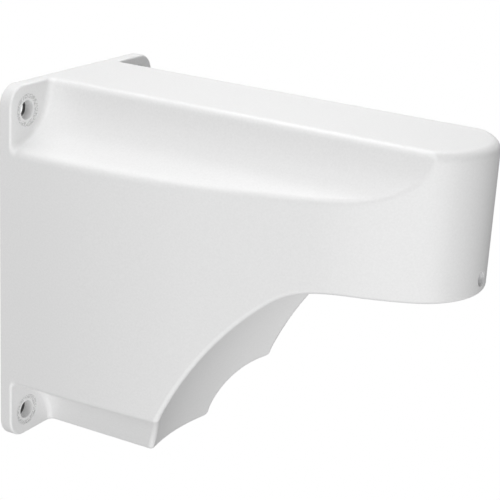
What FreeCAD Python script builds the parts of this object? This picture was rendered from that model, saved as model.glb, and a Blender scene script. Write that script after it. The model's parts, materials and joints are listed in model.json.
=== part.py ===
import FreeCAD, Part
import Sketcher
import math
import os

os.makedirs("parts", exist_ok=True)
V = FreeCAD.Vector
doc = FreeCAD.newDocument("wall_bracket")

# Driving sizes in millimetres. The origin is the middle of the face that
# lies on the wall: X leaves the wall, Y runs along it and Z is up.
SIZES = [
    ("plate_width", 130.0),
    ("plate_height", 200.0),
    ("plate_thick", 7.4),
    ("plate_corner", 11.0),
    ("ridge_width", 64.0),
    ("low_cove_radius", 35.0),
    ("low_cove_drop", 1.0),
    ("nose_radius", 39.0),
    ("nose_reach", 249.0),
    ("side_start", 30.0),
    ("side_radius", 600.0),
    ("nose_flare", 6.155425),
    ("shoulder_radius", 145.0),
    ("arm_depth", 76.0),
    ("dome_flat_r", 45.0),
    ("dome_bend", 38.5),
    ("dome_turn", 44.0),
    ("dome_side", 225.0),
    ("wall", 4.0),
    ("hole_side", 14.0),
    ("hole_end", 14.0),
    ("hole_dia", 10.4),
    ("spot_dia", 17.0),
    ("spot_depth", 0.4),
    ("ear_web", 5.0),
    ("back_relief_dia", 20.0),
    ("mouth_dia", 44.85),
    ("thread_dia", 47.8),
    ("collar_wall", 5.0),
    ("collar_height", 24.0),
    ("screw_dia", 8.0),
    ("screw_play", 0.05),
    ("screw_length", 10.0),
    ("screw_inset", 2.5),
    ("screw_rise", 8.5),
    ("screw_socket", 4.0),
    ("screw_socket_depth", 4.5),
    ("screw_boss", 15.0),
    ("screw_bevel", 0.7),
    ("screw_cup", 4.0),
    ("ear_root", 3.0),
    ("ear_edge", 1.3),
    ("high_edge", 4.0),
    ("low_edge", 3.5),
    ("nose_edge", 5.0),
    ("lip_edge", 2.5),
    ("plate_edge", 0.8),
]
sheet = doc.addObject("Spreadsheet::Sheet", "sizes")
for row, (name, value) in enumerate(SIZES, start=1):
    sheet.set("A%d" % row, name)
    sheet.set("B%d" % row, repr(value))
    sheet.setAlias("B%d" % row, name)
doc.recompute()


def size(name):
    return float(sheet.get(name))


def plane(body, role):
    for feature in body.Origin.OriginFeatures:
        if feature.Role == role:
            return feature
    raise RuntimeError("no origin feature " + role)


def sketch_on(body, name, role, offset=None):
    sketch = body.newObject("Sketcher::SketchObject", name)
    sketch.AttachmentSupport = [(plane(body, role), "")]
    sketch.MapMode = "FlatFace"
    if offset:
        sketch.setExpression(".AttachmentOffset.Base.z", offset)
    return sketch


def dim(sketch, kind, parts, value, formula):
    index = sketch.addConstraint(Sketcher.Constraint(kind, *parts, value))
    sketch.setExpression("Constraints[%d]" % index, formula)


def tie(sketch, kind, *parts):
    sketch.addConstraint(Sketcher.Constraint(kind, *parts))


def check(feature, smaller=None, larger=None):
    doc.recompute()
    bad = feature.Shape.isNull() or not feature.Shape.isValid()
    if bad or "Invalid" in feature.State or "Error" in feature.State:
        raise RuntimeError(feature.Name + " did not build: " + feature.getStatusString())
    if smaller is not None and not feature.Shape.Volume < smaller - 1e-3:
        raise RuntimeError(feature.Name + " cut nothing")
    if larger is not None and not feature.Shape.Volume > larger + 1e-3:
        raise RuntimeError(feature.Name + " added nothing")
    return feature


def line(sketch, start, end):
    return sketch.addGeometry(Part.LineSegment(V(*start, 0), V(*end, 0)))


def arc(sketch, centre, radius, start, end):
    # counter-clockwise from the start point to the end point
    first = math.atan2(start[1] - centre[1], start[0] - centre[0])
    last = math.atan2(end[1] - centre[1], end[0] - centre[0])
    if last < first:
        last += 2 * math.pi
    circle = Part.Circle(V(*centre, 0), V(0, 0, 1), radius)
    return sketch.addGeometry(Part.ArcOfCircle(circle, first, last))


def plan_points(inset):
    # joints of the half outline seen from above, on the +Y side
    half = size("plate_width") / 2 - inset
    side = size("side_radius") - inset
    shoulder = size("shoulder_radius") - inset
    nose = size("nose_radius") - inset
    axis = size("nose_reach") - size("nose_radius")
    start = (size("side_start"), half)
    side_c = (start[0], half - side)
    # The taper, drawn on, passes the nose's circle at a distance of the flare.
    away = (axis - side_c[0], -side_c[1])
    passing = (side - nose - size("nose_flare")) / math.hypot(*away)
    taper = math.atan2(*away) - math.acos(passing)
    bend = (side_c[0] + side * math.sin(taper), side_c[1] + side * math.cos(taper))
    base = (bend[0] - shoulder * math.sin(taper) - axis, bend[1] - shoulder * math.cos(taper))
    lean = base[0] * math.cos(taper) - base[1] * math.sin(taper)
    gap = base[0] ** 2 + base[1] ** 2 - (shoulder - nose) ** 2
    run = -lean - math.sqrt(lean * lean - gap)
    shoulder_c = (
        base[0] + run * math.cos(taper) + axis,
        base[1] - run * math.sin(taper),
    )
    turn = (
        shoulder_c[0] + shoulder * math.sin(taper),
        shoulder_c[1] + shoulder * math.cos(taper),
    )
    away = (axis - shoulder_c[0], -shoulder_c[1])
    reach = math.hypot(*away)
    nose_joint = (axis + nose * away[0] / reach, nose * away[1] / reach)
    return start, side_c, bend, turn, shoulder_c, nose_joint, (axis, 0.0)


def plan_outline(sketch, inset, minus, back):
    """Draw the outline of the body from above, moved inwards by inset."""
    start, side_c, bend, turn, shoulder_c, joint, axis = plan_points(inset)
    low = [(p[0], -p[1]) for p in (start, side_c, bend, turn, shoulder_c, joint)]
    side = size("side_radius") - inset
    shoulder = size("shoulder_radius") - inset
    nose = size("nose_radius") - inset
    root = line(sketch, (back, start[1]), (back, -start[1]))
    flat_n = line(sketch, (back, -start[1]), low[0])
    side_n = arc(sketch, low[1], side, low[0], low[2])
    taper_n = line(sketch, low[2], low[3])
    should_n = arc(sketch, low[4], shoulder, low[3], low[5])
    tip = arc(sketch, axis, nose, low[5], joint)
    should_f = arc(sketch, shoulder_c, shoulder, joint, turn)
    taper_f = line(sketch, turn, bend)
    side_f = arc(sketch, side_c, side, bend, start)
    flat_f = line(sketch, start, (back, start[1]))
    chain = [root, flat_n, side_n, taper_n, should_n, tip, should_f, taper_f, side_f, flat_f]
    for one, two in zip(chain[1:-1], chain[2:]):
        tie(sketch, "Tangent", one, 2, two, 1)
    tie(sketch, "Coincident", root, 2, flat_n, 1)
    tie(sketch, "Coincident", flat_f, 2, root, 1)
    tie(sketch, "Horizontal", flat_n)
    tie(sketch, "Symmetric", flat_n, 1, flat_f, 2, -1)
    tie(sketch, "Equal", should_n, should_f)
    tie(sketch, "PointOnObject", tip, 3, -1)
    tie(sketch, "Symmetric", side_n, 1, side_f, 2, -1)
    tie(sketch, "Symmetric", side_n, 2, side_f, 1, -1)
    dim(sketch, "DistanceX", (-1, 1, side_n, 1), start[0], "sizes.side_start")
    dim(sketch, "Distance", (root,), 2 * start[1], "sizes.plate_width - 2 * (%s)" % minus)
    dim(sketch, "Radius", (side_n,), side, "sizes.side_radius - (%s)" % minus)
    dim(sketch, "Radius", (should_n,), shoulder, "sizes.shoulder_radius - (%s)" % minus)
    dim(sketch, "Radius", (tip,), nose, "sizes.nose_radius - (%s)" % minus)
    dim(sketch, "DistanceX", (-1, 1, tip, 3), axis[0], "sizes.nose_reach - sizes.nose_radius")
    dim(
        sketch, "Distance", (tip, 3, taper_n), nose + size("nose_flare"),
        "sizes.nose_radius + sizes.nose_flare - (%s)" % minus,
    )
    if back < 0:
        dim(sketch, "DistanceX", (root, 1, -1, 1), -back, "%r" % -back)
    else:
        dim(sketch, "DistanceX", (-1, 1, root, 1), back, "sizes.plate_thick")


def dome_profile(sketch, inset, plus):
    """Half section of the hollow under the arm that clears a hanging camera.

    Two arcs lead from the flat underside of the nose down to the wall. The
    inset moves the whole section into the material.
    """
    flat_r = size("dome_flat_r")
    bend = size("dome_bend") + inset
    side = size("dome_side") + inset
    turn = math.radians(size("dome_turn"))
    top_z = size("plate_height") / 2 - size("arm_depth") + inset
    foot_z = -size("plate_height") / 2 - 10
    bend_c = (flat_r, top_z - bend)
    side_c = (
        flat_r - (side - bend) * math.sin(turn),
        bend_c[1] - (side - bend) * math.cos(turn),
    )
    joint = (flat_r + bend * math.sin(turn), bend_c[1] + bend * math.cos(turn))
    foot = (side_c[0] + math.sqrt(side ** 2 - (foot_z - side_c[1]) ** 2), foot_z)
    bow = arc(sketch, bend_c, bend, joint, (flat_r, top_z))
    skirt = arc(sketch, side_c, side, foot, joint)
    base = line(sketch, foot, (0, foot_z))
    spin = line(sketch, (0, foot_z), (0, top_z))
    flat = line(sketch, (0, top_z), (flat_r, top_z))
    tie(sketch, "Tangent", skirt, 2, bow, 1)
    tie(sketch, "Tangent", bow, 2, flat, 2)
    tie(sketch, "Coincident", flat, 1, spin, 2)
    tie(sketch, "Coincident", spin, 1, base, 2)
    tie(sketch, "Coincident", base, 1, skirt, 1)
    tie(sketch, "Horizontal", base)
    tie(sketch, "Horizontal", flat)
    tie(sketch, "PointOnObject", spin, 1, -2)
    tie(sketch, "PointOnObject", spin, 2, -2)
    under = "sizes.plate_height / 2 - sizes.arm_depth + " + plus
    lean = "(sizes.dome_side - sizes.dome_bend) * sin(sizes.dome_turn) - sizes.dome_flat_r"
    dim(sketch, "DistanceY", (-1, 1, flat, 2), top_z, under)
    dim(sketch, "DistanceX", (-1, 1, flat, 2), flat_r, "sizes.dome_flat_r")
    dim(sketch, "DistanceY", (base, 2, -1, 1), -foot_z, "sizes.plate_height / 2 + 10")
    dim(sketch, "DistanceX", (skirt, 3, -1, 1), -side_c[0], lean)
    dim(sketch, "Radius", (bow,), bend, "sizes.dome_bend + " + plus)
    dim(sketch, "Radius", (skirt,), side, "sizes.dome_side + " + plus)


def revolve(body, sketch, kind, name):
    feature = body.newObject(kind, name)
    feature.Profile = sketch
    feature.ReferenceAxis = (sketch, ["V_Axis"])
    feature.Angle = 360
    return feature


def cove_profile(sketch, near_x, far_x, radius, root, formulas):
    """Half section of one cove, lengthwise from the ear outwards."""
    foot = line(sketch, (near_x, 0), (near_x, radius - root))
    bend = arc(
        sketch, (near_x + root, radius - root), root,
        (near_x + root, radius), (near_x, radius - root),
    )
    wall = line(sketch, (near_x + root, radius), (far_x, radius))
    end = line(sketch, (far_x, radius), (far_x, 0))
    spin = line(sketch, (far_x, 0), (near_x, 0))
    tie(sketch, "Tangent", foot, 2, bend, 2)
    tie(sketch, "Tangent", bend, 1, wall, 1)
    tie(sketch, "Coincident", wall, 2, end, 1)
    tie(sketch, "Coincident", end, 2, spin, 1)
    tie(sketch, "Coincident", spin, 2, foot, 1)
    tie(sketch, "Vertical", foot)
    tie(sketch, "Horizontal", wall)
    tie(sketch, "Vertical", end)
    tie(sketch, "PointOnObject", foot, 1, -1)
    tie(sketch, "PointOnObject", end, 2, -1)
    near_f, far_f, radius_f, root_f = formulas
    dim(sketch, "DistanceX", (-1, 1, foot, 1), near_x, near_f)
    dim(sketch, "DistanceX", (-1, 1, end, 1), far_x, far_f)
    dim(sketch, "DistanceY", (-1, 1, wall, 1), radius, radius_f)
    dim(sketch, "Radius", (bend,), root, root_f)


def cove_pair(body, name, height, near_x, radius, formulas):
    """Groove one cove along the -Y side and mirror it to the +Y side."""
    before = body.Tip.Shape.Volume
    sketch = sketch_on(body, name + "_section", "XZ_Plane")
    sketch.setExpression(".AttachmentOffset.Base.z", "sizes.plate_width / 2")
    sketch.setExpression(".AttachmentOffset.Base.y", height)
    cove_profile(sketch, near_x, size("nose_reach") + 10, radius, size("ear_root"), formulas)
    groove = body.newObject("PartDesign::Groove", name)
    groove.Profile = sketch
    groove.ReferenceAxis = (sketch, ["H_Axis"])
    groove.Angle = 360
    check(groove, smaller=before)
    pair = body.newObject("PartDesign::Mirrored", name + "_pair")
    pair.Originals = [groove]
    pair.MirrorPlane = (plane(body, "XZ_Plane"), [""])
    body.Tip = pair
    return check(pair, smaller=groove.Shape.Volume)


HIGH_COVES = "sizes.plate_height / 2"
LOW_COVES = "-(sizes.plate_height / 2 + sizes.low_cove_drop)"


def pick(shape, test):
    return ["Edge%d" % i for i, e in enumerate(shape.Edges, start=1) if test(e)]


def fillet(body, name, edges, radius_name):
    if not edges:
        raise RuntimeError("no edges for " + name)
    base = body.Tip
    feature = body.newObject("PartDesign::Fillet", name)
    feature.Base = (base, edges)
    feature.setExpression("Radius", "sizes." + radius_name)
    return check(feature)


# The outer form: plate and body first, then the hollows that shape it.
form = doc.addObject("PartDesign::Body", "outer_form")

plate_sketch = sketch_on(form, "plate_outline", "YZ_Plane")
half_w = size("plate_width") / 2
half_h = size("plate_height") / 2
rad = size("plate_corner")
in_w = half_w - rad
in_h = half_h - rad
bottom = line(plate_sketch, (-in_w, -half_h), (in_w, -half_h))
corner_a = arc(plate_sketch, (in_w, -in_h), rad, (in_w, -half_h), (half_w, -in_h))
right = line(plate_sketch, (half_w, -in_h), (half_w, in_h))
corner_b = arc(plate_sketch, (in_w, in_h), rad, (half_w, in_h), (in_w, half_h))
top = line(plate_sketch, (in_w, half_h), (-in_w, half_h))
corner_c = arc(plate_sketch, (-in_w, in_h), rad, (-in_w, half_h), (-half_w, in_h))
left = line(plate_sketch, (-half_w, in_h), (-half_w, -in_h))
corner_d = arc(plate_sketch, (-in_w, -in_h), rad, (-half_w, -in_h), (-in_w, -half_h))
ring = [bottom, corner_a, right, corner_b, top, corner_c, left, corner_d]
for one, two in zip(ring, ring[1:] + ring[:1]):
    tie(plate_sketch, "Tangent", one, 2, two, 1)
for other in (corner_b, corner_c, corner_d):
    tie(plate_sketch, "Equal", corner_a, other)
tie(plate_sketch, "Horizontal", bottom)
tie(plate_sketch, "Vertical", right)
tie(plate_sketch, "Symmetric", corner_a, 3, corner_c, 3, -1, 1)
dim(plate_sketch, "Radius", (corner_a,), rad, "sizes.plate_corner")
dim(plate_sketch, "DistanceX", (left, 1, right, 1), 2 * half_w, "sizes.plate_width")
dim(plate_sketch, "DistanceY", (bottom, 1, top, 1), 2 * half_h, "sizes.plate_height")
plate = form.newObject("PartDesign::Pad", "plate")
plate.Profile = plate_sketch
plate.setExpression("Length", "sizes.plate_thick")
check(plate)

body_sketch = sketch_on(form, "body_plan", "XY_Plane")
plan_outline(body_sketch, 0.0, "0", size("plate_thick"))
block = form.newObject("PartDesign::Pad", "body_block")
block.Profile = body_sketch
block.Midplane = True
block.setExpression("Length", "sizes.plate_height")
check(block, larger=plate.Shape.Volume)


def block_rim(edge):
    level = edge.BoundBox.ZLength < 0.01 and abs(edge.BoundBox.ZMin) > half_h - 0.01
    return level and edge.BoundBox.XMax > size("nose_reach") - 1


# The coves take this rounding away again everywhere but on the nose.
fillet(form, "nose_rim", pick(form.Tip.Shape, block_rim), "nose_edge")

high_radius = (size("plate_width") - size("ridge_width")) / 2
low_radius = size("low_cove_radius")
cove_ends = ("sizes.plate_thick", "sizes.nose_reach + 10")
cove_pair(
    form, "high_cove", HIGH_COVES, size("plate_thick"), high_radius,
    cove_ends + ("(sizes.plate_width - sizes.ridge_width) / 2", "sizes.ear_root"),
)
cove_pair(
    form, "low_cove", LOW_COVES, size("plate_thick"), low_radius,
    cove_ends + ("sizes.low_cove_radius", "sizes.ear_root"),
)

axis_x = size("nose_reach") - size("nose_radius")
under_z = half_h - size("arm_depth")


def middle(edge):
    first, last = edge.ParameterRange
    return edge.valueAt((first + last) / 2)


def sharp(shape, edge):
    """True where two faces meet at an angle."""
    faces = shape.ancestorsOfType(edge, Part.Face)
    if len(faces) != 2:
        return False
    normals = []
    for face in faces:
        u, v = face.Surface.parameter(middle(edge))
        normals.append(face.normalAt(u, v))
    return normals[0].getAngle(normals[1]) > math.radians(8)


thick = size("plate_thick")


def edges_of(shape, test):
    """Names of the sharp edges off the wall side that pass the test."""
    names = []
    for number, edge in enumerate(shape.Edges, start=1):
        if middle(edge).x > thick / 2 and sharp(shape, edge) and test(edge):
            names.append("Edge%d" % number)
    return names


# At each corner one closed run of edges leads from the ear over the ridge and
# the nose to the crest between side and cove, and back. The rounding is tight
# on the ear, grows in the ear's two roots and stays wide from there on.
def rounding(at):
    if at.x < thick + 0.5:
        return size("ear_edge")
    return size("high_edge" if at.z > 0 else "low_edge")


def end_to_end(edges):
    """Follow one closed run of edges and give the two ends of each, in that order."""
    rest = sorted(edges, key=lambda numbered: middle(numbered[1]).x)
    number, edge = rest.pop(0)
    run = [(number, edge.Vertexes[0].Point, edge.Vertexes[-1].Point)]
    while rest:
        tail = run[-1][2]
        for numbered in rest:
            number, edge = numbered
            ends = [vertex.Point for vertex in (edge.Vertexes[0], edge.Vertexes[-1])]
            if ends[1].distanceToPoint(tail) < 1e-4:
                ends.reverse()
            if ends[0].distanceToPoint(tail) < 1e-4:
                break
        else:
            raise RuntimeError("the long edges do not join up")
        rest.remove(numbered)
        run.append((number, ends[0], ends[1]))
    return run


corners = {}
for name in edges_of(form.Tip.Shape, lambda edge: True):
    edge = form.Tip.Shape.getElement(name)
    at = middle(edge)
    corners.setdefault((at.z > 0, at.y > 0), []).append((int(name[4:]), edge))
soft_form = doc.addObject("Part::Fillet", "soft_form")
soft_form.Base = form
soft_form.Edges = [
    (number, rounding(start), rounding(finish))
    for corner in sorted(corners)
    for number, start, finish in end_to_end(corners[corner])
]
check(soft_form, smaller=form.Shape.Volume)

# The casting proper starts from the rounded form.
casting = doc.addObject("PartDesign::Body", "bracket_casting")
casting.Label = "bracket_casting"
casting.BaseFeature = soft_form
doc.recompute()
dome_sketch = sketch_on(casting, "dome_clearance", "XZ_Plane")
dome_sketch.setExpression(".AttachmentOffset.Base.x", "sizes.nose_reach - sizes.nose_radius")
dome_profile(dome_sketch, 0.0, "0")
dome = revolve(casting, dome_sketch, "PartDesign::Groove", "dome_hollow")
check(dome, smaller=soft_form.Shape.Volume)


def below(edge):
    return middle(edge).z < under_z + 0.5


def back_rim(edge):
    return edge.BoundBox.XMax < 0.01


fillet(casting, "dome_lip", edges_of(casting.Tip.Shape, below), "lip_edge")
fillet(casting, "back_edges", pick(casting.Tip.Shape, back_rim), "plate_edge")

# The core: what stays empty inside the casting, open to the wall.
core = doc.addObject("PartDesign::Body", "cable_core")
wall = size("wall")
back = -2.0
core_sketch = sketch_on(core, "core_plan", "XY_Plane")
plan_outline(core_sketch, wall, "sizes.wall", back)
core_block = core.newObject("PartDesign::Pad", "core_block")
core_block.Profile = core_sketch
core_block.Midplane = True
core_block.setExpression("Length", "sizes.plate_height - 2 * sizes.wall")
check(core_block)

core_ends = ("%r" % (back - 10), "sizes.nose_reach + 10")
cove_pair(
    core, "high_core_cove", HIGH_COVES, back - 10, high_radius + wall,
    core_ends + ("(sizes.plate_width - sizes.ridge_width) / 2 + sizes.wall", "sizes.ear_root"),
)
cove_pair(
    core, "low_core_cove", LOW_COVES, back - 10, low_radius + wall,
    core_ends + ("sizes.low_cove_radius + sizes.wall", "sizes.ear_root"),
)

core_dome_sketch = sketch_on(core, "core_dome", "XZ_Plane")
core_dome_sketch.setExpression(".AttachmentOffset.Base.x", "sizes.nose_reach - sizes.nose_radius")
dome_profile(core_dome_sketch, wall, "sizes.wall")
coves_left = core.Tip.Shape.Volume
core_dome = revolve(core, core_dome_sketch, "PartDesign::Groove", "core_dome_hollow")
check(core_dome, smaller=coves_left)

# The collar round the mouth and the boss for the lock screw stay solid.
collar_sketch = sketch_on(core, "collar_plan", "XY_Plane", "sizes.plate_height / 2 - sizes.arm_depth")
collar_r = size("thread_dia") / 2 + size("collar_wall")
collar_ring = collar_sketch.addGeometry(Part.Circle(V(axis_x, 0, 0), V(0, 0, 1), collar_r))
tie(collar_sketch, "PointOnObject", collar_ring, 3, -1)
dim(collar_sketch, "DistanceX", (-1, 1, collar_ring, 3), axis_x, "sizes.nose_reach - sizes.nose_radius")
dim(collar_sketch, "Radius", (collar_ring,), collar_r, "sizes.thread_dia / 2 + sizes.collar_wall")
collar = core.newObject("PartDesign::Pocket", "collar")
collar.Profile = collar_sketch
collar.Reversed = True
collar.setExpression("Length", "sizes.collar_height")
check(collar, smaller=core_dome.Shape.Volume)

boss_sketch = sketch_on(core, "screw_boss_section", "YZ_Plane", "sizes.nose_reach - sizes.nose_radius")
boss_r = size("screw_boss") / 2
screw_z = under_z + size("screw_rise")
boss_ring = boss_sketch.addGeometry(Part.Circle(V(0, screw_z, 0), V(0, 0, 1), boss_r))
tie(boss_sketch, "PointOnObject", boss_ring, 3, -2)
dim(
    boss_sketch, "DistanceY", (-1, 1, boss_ring, 3), screw_z,
    "sizes.plate_height / 2 - sizes.arm_depth + sizes.screw_rise",
)
dim(boss_sketch, "Diameter", (boss_ring,), 2 * boss_r, "sizes.screw_boss")
boss = core.newObject("PartDesign::Pocket", "screw_boss")
boss.Profile = boss_sketch
boss.Reversed = True
boss.setExpression("Length", "sizes.nose_radius")
check(boss, smaller=collar.Shape.Volume)

before = casting.Tip.Shape.Volume
hollow = casting.newObject("PartDesign::Boolean", "hollow")
hollow.setObjects([core])
hollow.Type = "Cut"
check(hollow, smaller=before)

# The mouth for a pipe-threaded camera cap.
mouth_sketch = sketch_on(casting, "mouth_plan", "XY_Plane", "sizes.plate_height / 2 - sizes.arm_depth - 1")
mouth_r = size("mouth_dia") / 2
mouth_ring = mouth_sketch.addGeometry(Part.Circle(V(axis_x, 0, 0), V(0, 0, 1), mouth_r))
tie(mouth_sketch, "PointOnObject", mouth_ring, 3, -1)
dim(mouth_sketch, "DistanceX", (-1, 1, mouth_ring, 3), axis_x, "sizes.nose_reach - sizes.nose_radius")
dim(mouth_sketch, "Diameter", (mouth_ring,), 2 * mouth_r, "sizes.mouth_dia")
mouth = casting.newObject("PartDesign::Pocket", "mouth")
mouth.Profile = mouth_sketch
mouth.Reversed = True
mouth.setExpression("Length", "sizes.collar_height + 2")
check(mouth, smaller=hollow.Shape.Volume)

# Fixing holes through the four ears, spot-faced in front, eased behind.
def ear_circles(name, offset, diameter):
    sketch = sketch_on(casting, name, "YZ_Plane", offset)
    first = None
    for side in (-1, 1):
        for end in (-1, 1):
            at_y = side * (half_w - size("hole_side"))
            at_z = end * (half_h - size("hole_end"))
            ring = sketch.addGeometry(
                Part.Circle(V(at_y, at_z, 0), V(0, 0, 1), size(diameter) / 2)
            )
            if first is None:
                dim(sketch, "Diameter", (ring,), size(diameter), "sizes." + diameter)
                first = ring
            else:
                tie(sketch, "Equal", first, ring)
            across = (-1, 1, ring, 3) if side > 0 else (ring, 3, -1, 1)
            upward = (-1, 1, ring, 3) if end > 0 else (ring, 3, -1, 1)
            dim(sketch, "DistanceX", across, abs(at_y), "sizes.plate_width / 2 - sizes.hole_side")
            dim(sketch, "DistanceY", upward, abs(at_z), "sizes.plate_height / 2 - sizes.hole_end")
    return sketch


def pocket(sketch, name, length, reverse):
    base = casting.Tip.Shape.Volume
    feature = casting.newObject("PartDesign::Pocket", name)
    feature.Profile = sketch
    feature.Reversed = reverse
    feature.setExpression("Length", length)
    return check(feature, smaller=base)


pocket(ear_circles("hole_rings", "-1", "hole_dia"), "fixing_holes", "sizes.plate_thick + 2", True)
pocket(ear_circles("spot_rings", "sizes.plate_thick", "spot_dia"), "spot_faces", "sizes.spot_depth", False)
pocket(
    ear_circles("relief_rings", "-1", "back_relief_dia"), "back_reliefs",
    "1 + sizes.plate_thick - sizes.ear_web", True,
)

# The lock screw hole, along X in the middle of the nose.
tap_sketch = sketch_on(casting, "screw_hole_section", "YZ_Plane", "sizes.nose_reach - sizes.nose_radius")
tap_ring = tap_sketch.addGeometry(Part.Circle(V(0, screw_z, 0), V(0, 0, 1), size("screw_dia") / 2))
tie(tap_sketch, "PointOnObject", tap_ring, 3, -2)
dim(
    tap_sketch, "DistanceY", (-1, 1, tap_ring, 3), screw_z,
    "sizes.plate_height / 2 - sizes.arm_depth + sizes.screw_rise",
)
dim(tap_sketch, "Diameter", (tap_ring,), size("screw_dia"), "sizes.screw_dia")
pocket(tap_sketch, "screw_hole", "sizes.nose_radius + 2", True)


# A socket set screw that locks the camera's thread in the mouth.
screw = doc.addObject("PartDesign::Body", "lock_screw")
screw.Label = "lock_screw"
screw.setExpression(".Placement.Base.x", "sizes.nose_reach - sizes.screw_inset")
screw.setExpression(".Placement.Base.z", "sizes.plate_height / 2 - sizes.arm_depth + sizes.screw_rise")
shank_r = size("screw_dia") / 2 - size("screw_play")
long = size("screw_length")
bevel = size("screw_bevel")
cup = size("screw_cup") / 2
shank_sketch = sketch_on(screw, "shank_section", "XZ_Plane")
corners = [
    (0, 0), (0, shank_r - bevel), (-bevel, shank_r), (bevel - long, shank_r),
    (-long, shank_r - bevel), (-long, cup), (cup - long, 0),
]
sides = [line(shank_sketch, one, two) for one, two in zip(corners, corners[1:] + corners[:1])]
for one, two in zip(sides, sides[1:] + sides[:1]):
    tie(shank_sketch, "Coincident", one, 2, two, 1)
face, lead, shank, point, end, hollow_cup, spine = sides
tie(shank_sketch, "Coincident", face, 1, -1, 1)
tie(shank_sketch, "Vertical", face)
tie(shank_sketch, "Horizontal", shank)
tie(shank_sketch, "Vertical", end)
tie(shank_sketch, "Horizontal", spine)
dim(shank_sketch, "DistanceY", (-1, 1, shank, 1), shank_r, "sizes.screw_dia / 2 - sizes.screw_play")
dim(shank_sketch, "DistanceX", (end, 2, -1, 1), long, "sizes.screw_length")
dim(shank_sketch, "DistanceX", (lead, 2, lead, 1), bevel, "sizes.screw_bevel")
dim(shank_sketch, "DistanceY", (lead, 1, lead, 2), bevel, "sizes.screw_bevel")
dim(shank_sketch, "DistanceX", (point, 2, point, 1), bevel, "sizes.screw_bevel")
dim(shank_sketch, "DistanceY", (point, 2, point, 1), bevel, "sizes.screw_bevel")
dim(shank_sketch, "DistanceY", (hollow_cup, 2, hollow_cup, 1), cup, "sizes.screw_cup / 2")
dim(shank_sketch, "DistanceX", (hollow_cup, 1, hollow_cup, 2), cup, "sizes.screw_cup / 2")
shank_form = screw.newObject("PartDesign::Revolution", "shank")
shank_form.Profile = shank_sketch
shank_form.ReferenceAxis = (shank_sketch, ["H_Axis"])
shank_form.Angle = 360
check(shank_form)

key_sketch = sketch_on(screw, "key_hexagon", "YZ_Plane")
key_r = size("screw_socket") / math.sqrt(3)
turns = [math.radians(60 * n) for n in range(6)]
tips = [(key_r * math.cos(t), key_r * math.sin(t)) for t in turns]
flats = [line(key_sketch, one, two) for one, two in zip(tips, tips[1:] + tips[:1])]
around = key_sketch.addGeometry(Part.Circle(V(0, 0, 0), V(0, 0, 1), key_r), True)
for one, two in zip(flats, flats[1:] + flats[:1]):
    tie(key_sketch, "Coincident", one, 2, two, 1)
for one in flats:
    tie(key_sketch, "PointOnObject", one, 1, around)
for other in flats[1:]:
    tie(key_sketch, "Equal", flats[0], other)
tie(key_sketch, "Coincident", around, 3, -1, 1)
tie(key_sketch, "PointOnObject", flats[0], 1, -1)
dim(key_sketch, "Radius", (around,), key_r, "sizes.screw_socket / sqrt(3)")
key = screw.newObject("PartDesign::Pocket", "key_socket")
key.Profile = key_sketch
key.setExpression("Length", "sizes.screw_socket_depth")
check(key, smaller=shank_form.Shape.Volume)

for body in (casting, screw):
    if len(body.Shape.Solids) != 1 or not body.Shape.isValid():
        raise RuntimeError(body.Label + " is not one sound solid")
    body.Shape.exportStep("parts/%s.step" % body.Label)
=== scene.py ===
import json
import math

import bpy
from mathutils import Matrix, Vector


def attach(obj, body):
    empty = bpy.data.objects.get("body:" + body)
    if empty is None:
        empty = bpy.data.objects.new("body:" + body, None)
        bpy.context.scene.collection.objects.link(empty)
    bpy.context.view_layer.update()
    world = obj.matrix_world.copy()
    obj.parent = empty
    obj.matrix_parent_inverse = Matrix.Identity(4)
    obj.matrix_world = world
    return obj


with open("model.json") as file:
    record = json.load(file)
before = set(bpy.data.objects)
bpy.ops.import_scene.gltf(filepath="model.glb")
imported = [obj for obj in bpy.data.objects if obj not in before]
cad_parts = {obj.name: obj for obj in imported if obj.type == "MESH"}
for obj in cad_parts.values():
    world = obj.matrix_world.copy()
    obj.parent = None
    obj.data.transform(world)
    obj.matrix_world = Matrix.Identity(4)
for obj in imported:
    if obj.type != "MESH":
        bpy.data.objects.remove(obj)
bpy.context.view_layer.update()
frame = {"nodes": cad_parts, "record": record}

nodes = frame["nodes"]
mounts = {mount["name"]: mount for mount in frame["record"]["mounts"]}
bolts = mounts["wall_bolts"]["dims"]
mouth = mounts["camera_mouth"]

MM = 0.001

# The four fixing holes in the ears
BORE_R = bolts["hole_r_mm"] * MM
SPOT_INNER_R = 6.3 * MM
SPOT_OUTER_R = 8.8 * MM
SPOT_FACE_X = 7.0 * MM
RELIEF_R = 10.0 * MM
RELIEF_DEPTH = 2.4 * MM
HOLE_SHADE_X = 1.8 * MM

# The thread in the mouth, of the 1 1/2 inch parallel pipe thread's pitch
THREAD_PITCH = 2.309 * MM
THREAD_TURNS = 9
THREAD_HEIGHT = 0.85 * MM
THREAD_ROOT = 0.1 * MM
THREAD_HALF_WIDTH = 0.42 * THREAD_PITCH

RING_SIDES = 128
TURN_STEPS = 72
SMOOTH_UNDER = math.radians(30)

# Colours as they look on a screen, and the grain of each pattern
COAT_DARK = "#E4E4E4"
COAT_LIGHT = "#E8E8E8"
COAT_MILLED = "#C4C4C4"
# Painted shade for the back ends of the bores
HOLE_SHADE = "#606060"
STEEL = "#DCDCDE"
COAT_ROUGHNESS = 0.36
STEEL_ROUGHNESS = 0.55
SPECKLE = 1.1 * MM
STIPPLE = 0.8 * MM
PEEL = 1.6 * MM
PEEL_DEPTH = 0.05 * MM
PEEL_STRENGTH = 0.035


# Colours and nodes

def linear(hex_colour):
    """A hex colour as it looks on a screen, turned into linear light."""
    parts = [int(hex_colour[i:i + 2], 16) / 255 for i in (1, 3, 5)]
    light = [c / 12.92 if c <= 0.04045 else ((c + 0.055) / 1.055) ** 2.4 for c in parts]
    return (*light, 1.0)


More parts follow.
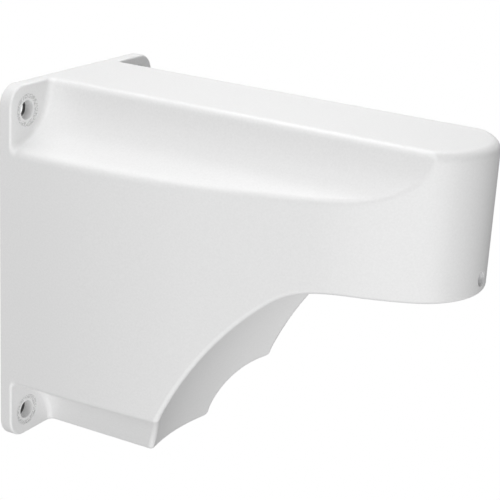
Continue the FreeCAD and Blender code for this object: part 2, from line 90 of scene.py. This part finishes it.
def add_node(tree, kind, inputs=None, **settings):
    """Add a node. Each input is given as its value, or as the output that feeds it."""
    node = tree.nodes.new(kind)
    for key, value in settings.items():
        setattr(node, key, value)
    for key, value in (inputs or {}).items():
        if isinstance(value, bpy.types.NodeSocket):
            tree.links.new(value, node.inputs[key])
        else:
            node.inputs[key].default_value = value
    return node


def new_tree(block):
    """The empty node tree of a new material or world."""
    block.use_nodes = True
    block.node_tree.nodes.clear()
    return block.node_tree


# Materials

def powder_coat():
    """Light grey powder coat, sprayed and baked: an even satin with a very fine orange peel."""
    material = bpy.data.materials.new("satin powder coat on die-cast aluminium")
    tree = new_tree(material)
    place = add_node(tree, "ShaderNodeTexCoord").outputs["Object"]

    # The tone wanders a little from grain to grain.
    speckle = add_node(
        tree, "ShaderNodeTexNoise", {"Vector": place, "Scale": 1 / SPECKLE, "Detail": 2.0}
    )
    tone = add_node(tree, "ShaderNodeValToRGB", {"Fac": speckle.outputs["Fac"]})
    dark, light = tone.color_ramp.elements
    dark.position = 0.30
    dark.color = linear(COAT_DARK)
    light.position = 0.70
    light.color = linear(COAT_LIGHT)

    # The spot-faces round the fixing holes: a milled, stippled ring under the
    # coat, a little darker than the rest. The back ends of the holes are painted
    # shade: dark grey where the bores lie in shadow.
    spots, ends = hole_marks(tree, place)
    stipple = add_node(
        tree, "ShaderNodeTexNoise", {"Vector": place, "Scale": 1 / STIPPLE, "Detail": 0.0}
    )
    grain = add_node(
        tree, "ShaderNodeMapRange",
        {"Value": stipple.outputs["Fac"], "From Min": 0.40, "From Max": 0.60},
    )
    milled = add_node(
        tree, "ShaderNodeMath", {0: grain.outputs["Result"], 1: spots}, operation="MULTIPLY"
    )
    ring = add_node(
        tree, "ShaderNodeMix",
        {"Factor": milled.outputs["Value"], "A": tone.outputs["Color"], "B": linear(COAT_MILLED)},
        data_type="RGBA",
    )
    # Painted shade: the back ends of the bores turn dark grey.
    shade = add_node(
        tree, "ShaderNodeMix",
        {"Factor": ends, "A": ring.outputs["Result"], "B": linear(HOLE_SHADE)},
        data_type="RGBA",
    )

    # Real orange peel is as wide as this and too flat to see, so it only
    # breaks up the highlights.
    peel = add_node(
        tree, "ShaderNodeTexNoise", {"Vector": place, "Scale": 1 / PEEL, "Detail": 1.0}
    )
    bump = add_node(
        tree, "ShaderNodeBump",
        {"Height": peel.outputs["Fac"], "Strength": PEEL_STRENGTH, "Distance": PEEL_DEPTH},
    )
    coated = add_node(
        tree, "ShaderNodeBsdfPrincipled",
        {
            "Base Color": shade.outputs["Result"],
            "Roughness": COAT_ROUGHNESS,
            "Normal": bump.outputs["Normal"],
        },
    )
    add_node(tree, "ShaderNodeOutputMaterial", {"Surface": coated.outputs["BSDF"]})
    return material


def hole_marks(tree, place):
    """Two masks round the four fixing holes: the spot-faces, and the holes' back ends that take
    painted shade.
    """
    apart = add_node(tree, "ShaderNodeSeparateXYZ", {"Vector": place})
    from_hole = {}
    for axis, spacing in (("Y", bolts["spacing_x_mm"]), ("Z", bolts["spacing_y_mm"])):
        outward = add_node(tree, "ShaderNodeMath", {0: apart.outputs[axis]}, operation="ABSOLUTE")
        past = add_node(
            tree, "ShaderNodeMath",
            {0: outward.outputs["Value"], 1: spacing / 2 * MM}, operation="SUBTRACT",
        )
        from_hole[axis] = past.outputs["Value"]
    flat = add_node(tree, "ShaderNodeCombineXYZ", from_hole)
    reach = add_node(tree, "ShaderNodeVectorMath", {0: flat.outputs["Vector"]}, operation="LENGTH")

    def mark(r_from, r_to, x_from, x_to):
        """1 between two radii round a hole and two distances from the wall, 0 elsewhere."""
        band = add_node(
            tree, "ShaderNodeMath",
            {0: reach.outputs["Value"], 1: (r_to + r_from) / 2, 2: (r_to - r_from) / 2},
            operation="COMPARE",
        )
        depth = add_node(
            tree, "ShaderNodeMath",
            {0: apart.outputs["X"], 1: (x_to + x_from) / 2, 2: (x_to - x_from) / 2},
            operation="COMPARE",
        )
        both = add_node(
            tree, "ShaderNodeMath",
            {0: band.outputs["Value"], 1: depth.outputs["Value"]}, operation="MULTIPLY",
        )
        return both.outputs["Value"]

    spots = mark(SPOT_INNER_R, SPOT_OUTER_R, SPOT_FACE_X - 0.8 * MM, SPOT_FACE_X + 0.8 * MM)
    # Painted shade: the last part of each bore towards the wall, where it lies in shadow.
    ends = mark(0, BORE_R + 0.02 * MM, -0.1 * MM, HOLE_SHADE_X)
    return spots, ends


def screw_steel():
    """Stainless steel of the set screw, turned and left plain: a dull, even sheen."""
    material = bpy.data.materials.new("plain stainless steel")
    tree = new_tree(material)
    steel = add_node(
        tree, "ShaderNodeBsdfPrincipled",
        {"Base Color": linear(STEEL), "Metallic": 1.0, "Roughness": STEEL_ROUGHNESS},
    )
    add_node(tree, "ShaderNodeOutputMaterial", {"Surface": steel.outputs["BSDF"]})
    return material


def dress(name, material):
    for slot in nodes[name].material_slots:
        slot.material = material


coat = powder_coat()
dress("bracket_casting", coat)
dress("lock_screw", screw_steel())


# Added pieces: the ears' full depth round the fixing holes, and the fine
# thread in the mouth. Both are part of the casting and share its coat.

def finish_piece(name):
    """Smooth and name the new piece, and give it its place in the mesh, its body and its coat."""
    bpy.ops.mesh.select_all(action="SELECT")
    bpy.ops.mesh.normals_make_consistent(inside=False)
    bpy.ops.object.mode_set(mode="OBJECT")
    bpy.ops.object.shade_smooth_by_angle(angle=SMOOTH_UNDER)
    bpy.ops.object.transform_apply(location=True, rotation=True, scale=True)
    piece = bpy.context.object
    piece.name = name
    piece.data.materials.append(coat)
    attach(piece, "root")
    return piece


def ear_ring(name, y, z):
    """A flat ring that fills the recess behind one ear, flush with the wall face. Its bore wall
    takes the coat's painted shade.
    """
    bpy.ops.object.select_all(action="DESELECT")
    bpy.ops.mesh.primitive_circle_add(
        vertices=RING_SIDES, radius=BORE_R, location=(0, y, z), rotation=(0, math.pi / 2, 0)
    )
    bpy.ops.object.transform_apply(location=True, rotation=True, scale=True)
    bpy.ops.object.mode_set(mode="EDIT")
    bpy.ops.mesh.select_all(action="SELECT")
    bpy.ops.mesh.extrude_edges_move()
    grow = RELIEF_R / BORE_R
    bpy.ops.transform.resize(value=(1, grow, grow), center_override=(0, y, z))
    bpy.ops.mesh.select_all(action="SELECT")
    bpy.ops.mesh.extrude_region_move(TRANSFORM_OT_translate={"value": (RELIEF_DEPTH, 0, 0)})
    return finish_piece(name)


def mouth_thread():
    """A fine helical ridge on the wall of the mouth, with closed ends."""
    radius = mouth["dims"]["r_mm"] * MM
    foot = radius + THREAD_ROOT
    x, y, z = mouth["pos_m"]
    bpy.ops.object.select_all(action="DESELECT")
    bpy.ops.mesh.primitive_circle_add(
        vertices=3, radius=1.0, location=(x, y, z - THREAD_TURNS * THREAD_PITCH / 2)
    )
    piece = bpy.context.object
    profile = [(foot, THREAD_HALF_WIDTH), (radius - THREAD_HEIGHT, 0), (foot, -THREAD_HALF_WIDTH)]
    for vertex, (out, rise) in zip(piece.data.vertices, profile):
        vertex.co = (out, 0, rise)
    turns = piece.modifiers.new("turns", "SCREW")
    turns.angle = math.tau
    turns.screw_offset = THREAD_PITCH
    turns.iterations = THREAD_TURNS
    turns.steps = TURN_STEPS
    turns.render_steps = TURN_STEPS
    bpy.ops.object.modifier_apply(modifier=turns.name)
    bpy.ops.object.mode_set(mode="EDIT")
    bpy.ops.mesh.select_all(action="SELECT")
    bpy.ops.mesh.remove_doubles(threshold=0.001 * MM)
    bpy.ops.mesh.select_all(action="DESELECT")
    bpy.ops.mesh.select_mode(type="EDGE")
    bpy.ops.mesh.select_non_manifold()
    bpy.ops.mesh.fill()
    return finish_piece("mouth_thread")


for side, y in (("near", -0.5), ("far", 0.5)):
    for end, z in (("low", -0.5), ("high", 0.5)):
        ear_ring(
            "ear_ring_%s_%s" % (end, side),
            y * bolts["spacing_x_mm"] * MM, z * bolts["spacing_y_mm"] * MM,
        )
mouth_thread()

# Light: a white surround, large soft lamps below the near side and all round,
# and small ones above the wall and the near side that draw the ridge's edge.
WHITE = (1, 1, 1, 1)
SEEN_STRENGTH = 1.0
CAST_STRENGTH = 0.22
AIM = Vector((0.12, 0.0, 0.02))

scene = bpy.context.scene
scene.view_settings.view_transform = "Standard"
scene.world = bpy.data.worlds.new("white surround")
surround = new_tree(scene.world)
ray = add_node(surround, "ShaderNodeLightPath")
cast = add_node(surround, "ShaderNodeBackground", {"Color": WHITE, "Strength": CAST_STRENGTH})
seen = add_node(surround, "ShaderNodeBackground", {"Color": WHITE, "Strength": SEEN_STRENGTH})
mix = add_node(
    surround, "ShaderNodeMixShader",
    {
        "Fac": ray.outputs["Is Camera Ray"],
        1: cast.outputs["Background"],
        2: seen.outputs["Background"],
    },
)
add_node(surround, "ShaderNodeOutputWorld", {"Surface": mix.outputs["Shader"]})


def soft_lamp(name, azimuth, elevation, distance, size, power):
    """An area lamp aimed at the bracket; azimuth 0 is in front of the -Y side."""
    turn, rise = math.radians(azimuth), math.radians(elevation)
    away = Vector((
        math.sin(turn) * math.cos(rise),
        -math.cos(turn) * math.cos(rise),
        math.sin(rise),
    ))
    bpy.ops.object.light_add(type="AREA", location=AIM + away * distance)
    lamp = bpy.context.object
    lamp.name = name
    lamp.data.shape = "DISK"
    lamp.data.size = size
    lamp.data.energy = power
    lamp.rotation_euler = away.to_track_quat("Z", "Y").to_euler()


soft_lamp("low lamp", 30, -35, 1.5, 2.6, 20.4)
soft_lamp("low end lamp", 90, -20, 1.5, 2.6, 2.2)
soft_lamp("side lamp", 42, 10, 1.5, 2.6, 6.8)
soft_lamp("far lamp", 180, 40, 1.5, 2.6, 6.1)
soft_lamp("far wall lamp", -150, 50, 1.2, 0.8, 2.8)
soft_lamp("near lamp", 0, 52, 0.8, 0.4, 1.7)
soft_lamp("wall lamp", -90, 80, 0.8, 0.4, 1.85)
soft_lamp("edge lamp", -90, 62, 0.9, 0.5, 0.85)

# Camera: the photo's own viewpoint.
AZIMUTH = math.radians(27.257)
ELEVATION = math.radians(20.288)
ROLL = math.radians(3.940)
DISTANCE = 875.763 * MM
FOCAL_PX = 1528.059
PICTURE_PX = 500.0
SIDE_PX = -226.606
RISE_PX = 60.467
SHIFT_X_PX = 49.192
SHIFT_Y_PX = 49.925
SENSOR_MM = 36.0

back = Vector((
    math.sin(AZIMUTH) * math.cos(ELEVATION),
    -math.cos(AZIMUTH) * math.cos(ELEVATION),
    math.sin(ELEVATION),
))
right = (-back).cross(Vector((0, 0, 1))).normalized()
up = right.cross(-back)
right_r = right * math.cos(ROLL) + up * math.sin(ROLL)
up_r = up * math.cos(ROLL) - right * math.sin(ROLL)
offset = right_r * (SIDE_PX / FOCAL_PX) + up_r * (RISE_PX / FOCAL_PX) - back
turned = Matrix((right_r, up_r, back)).transposed().to_4x4()
camera_data = bpy.data.cameras.new("photo camera")
camera = bpy.data.objects.new("photo camera", camera_data)
scene.collection.objects.link(camera)
camera.matrix_world = Matrix.Translation(-offset * DISTANCE) @ turned
camera_data.sensor_width = SENSOR_MM
camera_data.lens = SENSOR_MM * FOCAL_PX / PICTURE_PX
camera_data.shift_x = -SHIFT_X_PX / PICTURE_PX
camera_data.shift_y = SHIFT_Y_PX / PICTURE_PX
scene.camera = camera
